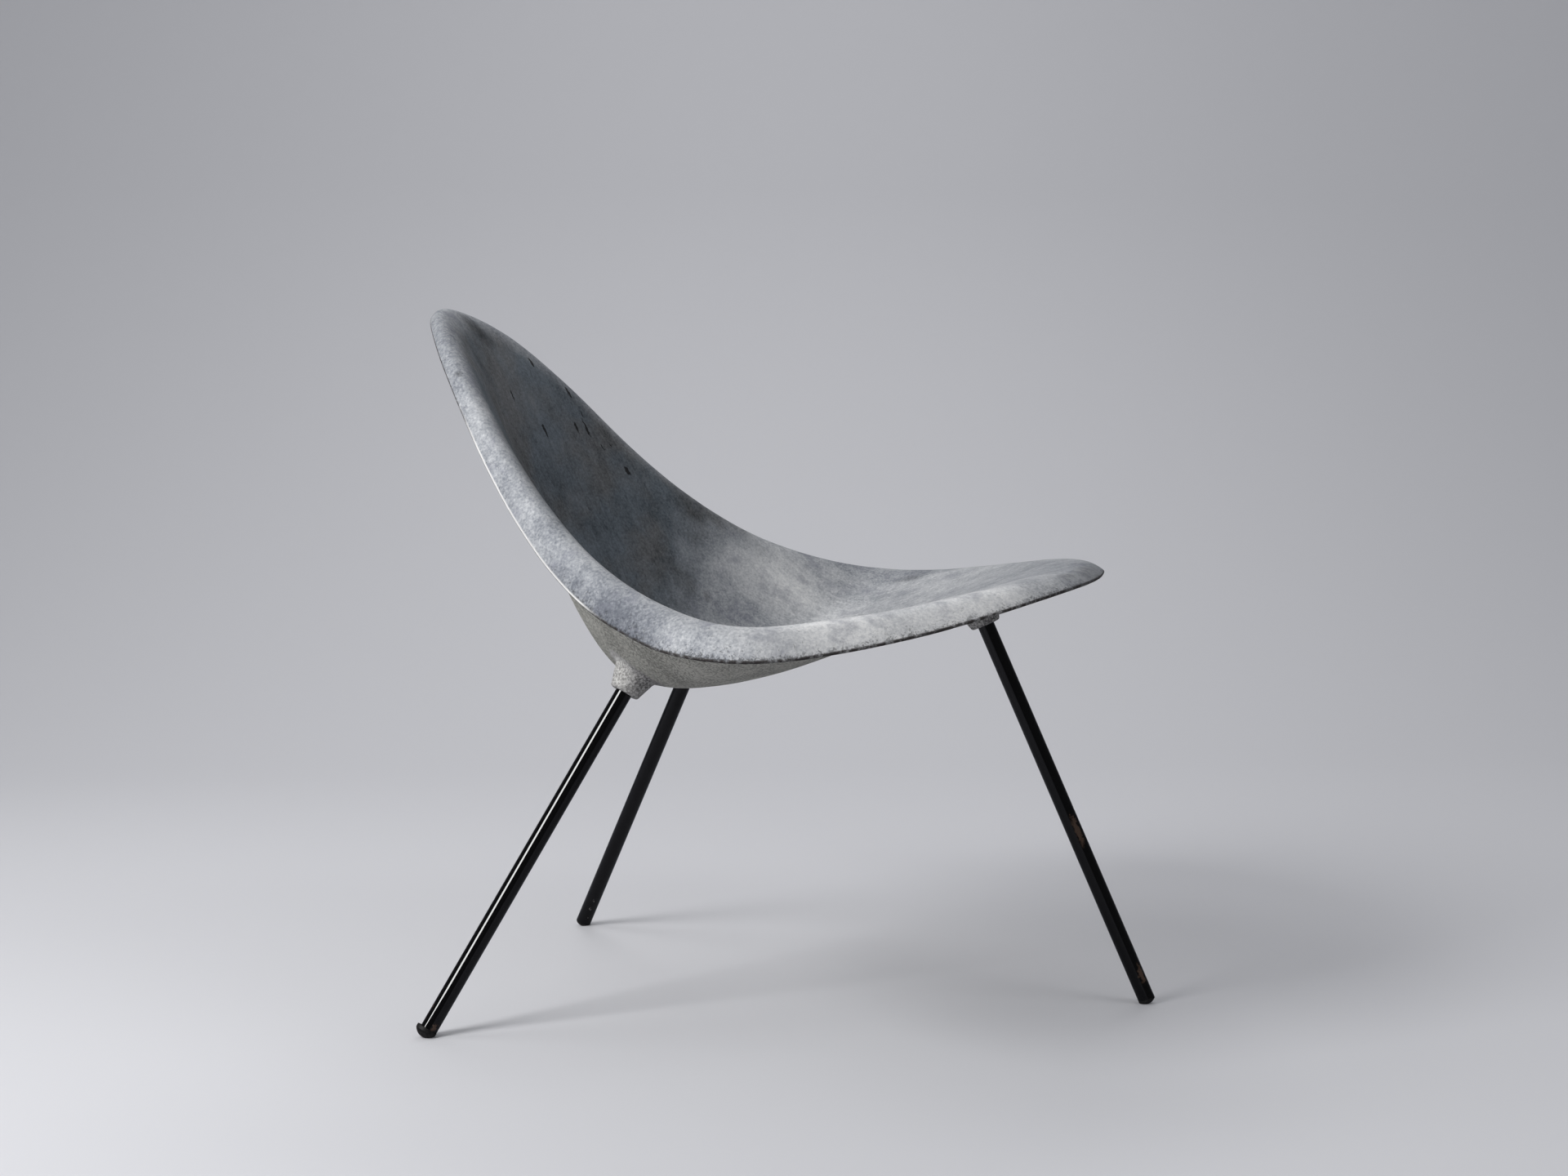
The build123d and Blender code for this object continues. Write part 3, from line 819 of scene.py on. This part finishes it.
def cast_aluminium():
    """Aluminium poured in sand, its upper side rubbed down by hand and left to dull. The eye gets a satin
    grey with clouds of blue-grey oxide, a fine sparkle, faint rubbing marks that run from front to back,
    small dark pits along the lip, a darker patina inside the back that is partly painted shade, patches of
    painted light and painted shade on the lip and in the hollow, a worn edge that is partly a painted
    highlight on the back, and raw sandy metal underneath."""
    material, tree = finish("sand cast aluminium")
    seat = places_on_casting(tree)
    drawn = node(tree, "Mapping", {
        "Vector": seat.place, "Scale": (1000 / RUB_WIDTH, 1000 / RUB_LENGTH, 1000 / RUB_LENGTH),
    })
    rubbed = node(tree, "TexNoise", {
        "Vector": drawn, "Scale": 1.0, "Detail": 4.0, "Roughness": 0.6, "Distortion": 0.9,
    })
    sandy = node(tree, "TexNoise", {
        "Vector": seat.place, "Scale": 1000 / GRAIN, "Detail": 2.0, "Roughness": 0.7,
    })
    tone = metal_tone(tree, seat, rubbed)
    dirt_and_shade = dirt_and_shade_amount(tree, seat, rubbed)
    worn_and_highlit, dark_edge = edge_bright_and_dark(tree, seat)
    colour = raw_colour(tree, seat, upper_colour(tree, seat, tone, rubbed), sandy)
    # Dirt with painted shade at the front crest, the bright edge with its painted highlight, and the darker
    # edge line
    for amount, code in ((dirt_and_shade, DIRT_AND_SHADE), (worn_and_highlit, BRIGHT_METAL_AND_HIGHLIGHT), (dark_edge, DARK_EDGE)):
        colour = node(tree, "Mix", {AMOUNT: amount, FIRST: colour, SECOND: srgb(code)}, data_type="RGBA")
    rough = node(tree, "MapRange", {"Value": tone, **SATIN_ROUGHNESS})
    rough = node(tree, "Math", {0: dirt_and_shade, 1: DIRT_ROUGHER, 2: rough}, operation="MULTIPLY_ADD")
    rough = node(tree, "Math", {0: worn_and_highlit, 1: WORN_SMOOTHER, 2: rough}, operation="MULTIPLY_ADD")
    relief = node(tree, "Math", {0: sandy, 1: seat.under}, operation="MULTIPLY")
    relief = node(tree, "Math", {0: tone, 1: TONE_RELIEF, 2: relief}, operation="MULTIPLY_ADD")
    relief = node(tree, "Math", {0: dirt_and_shade, 1: DIRT_RELIEF, 2: relief}, operation="MULTIPLY_ADD")
    bump = node(tree, "Bump", {"Height": relief, "Strength": 0.3, "Distance": 0.0006})
    surface = node(tree, "BsdfPrincipled", {
        "Base Color": colour, "Metallic": 0.42, "Roughness": rough, "Normal": bump,
    })
    node(tree, "OutputMaterial", {"Surface": surface})
    return material


def black_lacquer():
    """Stove lacquer on steel tube under a clear gloss coat: deep black and wet looking, with a faint orange
    peel, and brown primer or bare steel where knocks have gone through it."""
    material, tree = finish("black lacquer on steel tube")
    place = node(tree, "TexCoord").outputs["Object"]
    peel = node(tree, "TexNoise", {"Vector": place, "Scale": 1000 / 9, "Detail": 1.0})
    dust = node(tree, "TexNoise", {"Vector": place, "Scale": 1000 / 2.5, "Detail": 3.0, "Roughness": 0.7})
    colour = node(tree, "ValToRGB", {"Fac": dust}, stops=((0.45, "#020202"), (0.8, "#0a0a0b")))
    warped = ragged(tree, place, size=4, detail=4.0, reach=0.009)
    bare = 0.0
    for marks, code in ((WORN_LACQUER, PRIMER), (SCRATCHED_LACQUER, BARE_STEEL)):
        for at, leg, length, width in marks:
            fade = mark(tree, warped, at, Leg(*LEGS[leg]).axis, length, width)
            fade = node(tree, "Math", {0: fade, 1: dust}, operation="MULTIPLY")
            chip = node(tree, "MapRange", {"Value": fade, **CHIPS})
            colour = node(tree, "Mix", {AMOUNT: chip, FIRST: colour, SECOND: srgb(code)}, data_type="RGBA")
            bare = node(tree, "Math", {0: bare, 1: chip}, operation="MAXIMUM")
    rough = node(tree, "MapRange", {"Value": bare, "To Min": GLOSSY, "To Max": BARE})
    relief = node(tree, "Math", {0: bare, 1: CHIP_DEPTH, 2: peel}, operation="MULTIPLY_ADD")
    bump = node(tree, "Bump", {"Height": relief, "Strength": 0.03, "Distance": 0.0005})
    surface = node(tree, "BsdfPrincipled", {
        "Base Color": colour, "Roughness": rough, "Coat Weight": 1.0, "Coat Roughness": 0.03, "Normal": bump,
    })
    node(tree, "OutputMaterial", {"Surface": surface})
    return material


def foot_finish(name, clean, dusty, roughness):
    """Moulded rubber or plastic: black with a dull bloom, greyer with dust and scuffs towards the floor."""
    material, tree = finish(name)
    place = node(tree, "TexCoord").outputs["Object"]
    height = node(tree, "SeparateXYZ", {0: place}).outputs["Z"]
    scuffs = node(tree, "TexNoise", {"Vector": place, "Scale": 1000 / 3, "Detail": 4.0, "Roughness": 0.7})
    low = node(tree, "MapRange", {"Value": height, **FLOOR_DUST})
    amount = node(tree, "Math", {0: scuffs, 1: low}, operation="ADD")
    shade = node(tree, "ValToRGB", {"Fac": amount}, stops=((0.5, clean), (0.9, dusty)))
    rough = node(tree, "MapRange", {"Value": amount, "To Min": roughness - 0.1, "To Max": roughness + 0.2})
    bump = node(tree, "Bump", {"Height": scuffs, "Strength": 0.15, "Distance": 0.0003})
    surface = node(tree, "BsdfPrincipled", {"Base Color": shade, "Roughness": rough, "Normal": bump})
    node(tree, "OutputMaterial", {"Surface": surface})
    return material


def turned_steel():
    """Steel turned on a lathe: bright, with the tool's fine rings, drawn 5 mm apart so that they show."""
    material, tree = finish("turned steel")
    place = node(tree, "TexCoord").outputs["Object"]
    rings = node(tree, "TexWave", {
        "Vector": place, "Scale": TURNED_RINGS, "Distortion": 0.4,
    }, bands_direction="Z")
    oil = node(tree, "TexNoise", {"Vector": place, "Scale": 1000 / 6, "Detail": 3.0})
    shade = node(tree, "ValToRGB", {"Fac": oil}, stops=((0.0, "#77777a"), (1.0, "#b9b9bb")))
    rough = node(tree, "MapRange", {"Value": oil, "To Min": 0.2, "To Max": 0.42})
    bump = node(tree, "Bump", {"Height": rings.outputs["Fac"], "Strength": 0.2, "Distance": 0.0002})
    surface = node(tree, "BsdfPrincipled", {
        "Base Color": shade, "Metallic": 1.0, "Roughness": rough, "Normal": bump,
    })
    node(tree, "OutputMaterial", {"Surface": surface})
    return material


casting.data.materials.clear()
casting.data.materials.append(cast_aluminium())
node_finishes = {
    "leg": black_lacquer(),
    "stud": turned_steel(),
    "rear_right_foot": foot_finish("moulded black rubber", "#101011", "#3a3937", 0.55),
    "foot": foot_finish("moulded black plastic", "#0d0d0e", "#2f2e2d", 0.35),
}
for name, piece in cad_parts.items():
    for ending, material in node_finishes.items():
        if name.endswith(ending):
            piece.material_slots[0].material = material
            break


# Studio: one sheet of paper for floor and backdrop, a tall soft key behind the sitter's right shoulder,
# weaker soft boxes on the sitter's left, behind and in front, a small one on the backdrop, and an even world
# as fill

SHEET_WIDTH = 16.0
SHEET_FRONT = -5.0
SHEET_BACK = 3.6
SHEET_HEIGHT = 6.0
SHEET_SWEEP = 2.2
SWEEP_STEPS = 32
NEAR_ENOUGH = 0.01
VIEW_TURN = math.radians(12.6)
PAPER, PAPER_IN_REFLECTIONS, PAPER_LIFT = "#d3d3d6", "#66666b", 0.05
WORLD_LIGHT, WORLD_IN_REFLECTIONS = 0.48, 0.06


def studio_sheet():
    """Floor and backdrop in one piece, with a wide sweep between them, square to the camera's view."""
    bpy.ops.object.select_all(action="DESELECT")
    bpy.ops.mesh.primitive_plane_add(size=1, location=(0, 0, 0))
    sheet = bpy.context.object
    sheet.name = "studio_sheet"
    sheet.scale = (SHEET_BACK - SHEET_FRONT, SHEET_WIDTH, 1)
    sheet.location = ((SHEET_BACK + SHEET_FRONT) / 2, 0, 0)
    bpy.ops.object.transform_apply(location=True, rotation=False, scale=True)

    def edges_at_back(top):
        corners = [v.co.x > SHEET_BACK - NEAR_ENOUGH and v.co.z < top for v in sheet.data.vertices]
        return [all(corners[v] for v in edge.vertices) for edge in sheet.data.edges]

    select(sheet, "EDGE", edges_at_back(SHEET_HEIGHT))
    bpy.ops.mesh.extrude_region_move(TRANSFORM_OT_translate={"value": (0, 0, SHEET_HEIGHT)})
    bpy.ops.object.mode_set(mode="OBJECT")
    select(sheet, "EDGE", edges_at_back(NEAR_ENOUGH))
    bpy.ops.mesh.bevel(offset=SHEET_SWEEP, segments=SWEEP_STEPS, affect="EDGES")
    bpy.ops.object.mode_set(mode="OBJECT")
    sheet.rotation_euler = (0, 0, VIEW_TURN)
    bpy.ops.object.transform_apply(location=False, rotation=True, scale=False)
    bpy.ops.object.shade_smooth()
    return sheet


def studio_paper():
    """Matt paper off a roll, pale and even. The camera sees it lifted a little. Reflections see it dimmed, as
    in a studio that is dark beyond its paper. The light that it throws on the chair stays as it is."""
    material, tree = finish("pale studio paper")
    rays = node(tree, "LightPath")
    sheen = node(tree, "Mix", {
        AMOUNT: rays.outputs["Is Glossy Ray"], FIRST: srgb(PAPER), SECOND: srgb(PAPER_IN_REFLECTIONS),
    }, data_type="RGBA")
    paper = node(tree, "BsdfDiffuse", {"Color": sheen})
    lift = node(tree, "Math", {0: rays.outputs["Is Camera Ray"], 1: PAPER_LIFT}, operation="MULTIPLY")
    glow = node(tree, "Emission", {"Color": srgb("#f4f6fa"), "Strength": lift})
    node(tree, "OutputMaterial", {"Surface": node(tree, "AddShader", {0: paper, 1: glow})})
    return material


sheet = studio_sheet()
sheet.data.materials.append(studio_paper())


def softbox(name, place, target, width, tall, power):
    """Rectangular area lamp that faces a target, its width level."""
    bpy.ops.object.light_add(type="AREA", location=place)
    lamp = bpy.context.object
    lamp.name = name
    lamp.data.shape = "RECTANGLE"
    lamp.data.size = width
    lamp.data.size_y = tall
    lamp.data.energy = power
    lamp.rotation_euler = (Vector(target) - Vector(place)).to_track_quat("-Z", "Y").to_euler()


SEAT = (0, 0, 0.35)
softbox("key_softbox", (-1.66, 1.35, 1.76), SEAT, width=0.95, tall=1.5, power=45)
softbox("back_softbox", (1.71, 0.30, 2.42), SEAT, width=1.1, tall=1.1, power=12)
softbox("side_softbox", (0, 1.74, 2.42), SEAT, width=1.1, tall=1.1, power=8)
softbox("front_softbox", (-0.59, -1.63, 2.42), SEAT, width=1.1, tall=1.1, power=7)
softbox("backdrop_softbox", (1.9, 0.42, 2.3), (3.5, 0.78, 1.1), width=0.8, tall=0.5, power=4)

world = bpy.data.worlds.new("studio")
bpy.context.scene.world = world
world.use_nodes = True
sky = world.node_tree.nodes["Background"]
sky.inputs["Color"].default_value = srgb("#c8cad0")
strength = node(world.node_tree, "MapRange", {
    "Value": node(world.node_tree, "LightPath").outputs["Is Glossy Ray"],
    "To Min": WORLD_LIGHT, "To Max": WORLD_IN_REFLECTIONS,
})
world.node_tree.links.new(strength.outputs[0], sky.inputs["Strength"])

# Camera: at the photograph's place, worked out from the chair's symmetry and legs
CAMERA_PLACE = (-2.158954, -0.478262, 0.554196)
YAW, PITCH, ROLL = math.radians(12.6044), math.radians(-4.1679), math.radians(-0.6428)
FOCAL_PIXELS = 2802.93
IMAGE_WIDTH = 1920
SENSOR_WIDTH = 36.0
ahead = Vector((math.cos(PITCH) * math.cos(YAW), math.cos(PITCH) * math.sin(YAW), math.sin(PITCH)))
right = ahead.cross(Vector((0, 0, 1))).normalized()
up = right.cross(ahead)
right, up = right * math.cos(ROLL) + up * math.sin(ROLL), up * math.cos(ROLL) - right * math.sin(ROLL)
bpy.ops.object.camera_add(location=CAMERA_PLACE)
camera = bpy.context.object
camera.data.sensor_fit = "HORIZONTAL"
camera.data.sensor_width = SENSOR_WIDTH
camera.data.lens = FOCAL_PIXELS * SENSOR_WIDTH / IMAGE_WIDTH
camera.matrix_world = Matrix.Translation(CAMERA_PLACE) @ Matrix((right, up, -ahead)).transposed().to_4x4()
bpy.context.scene.camera = camera
bpy.context.scene.view_settings.view_transform = "Standard"
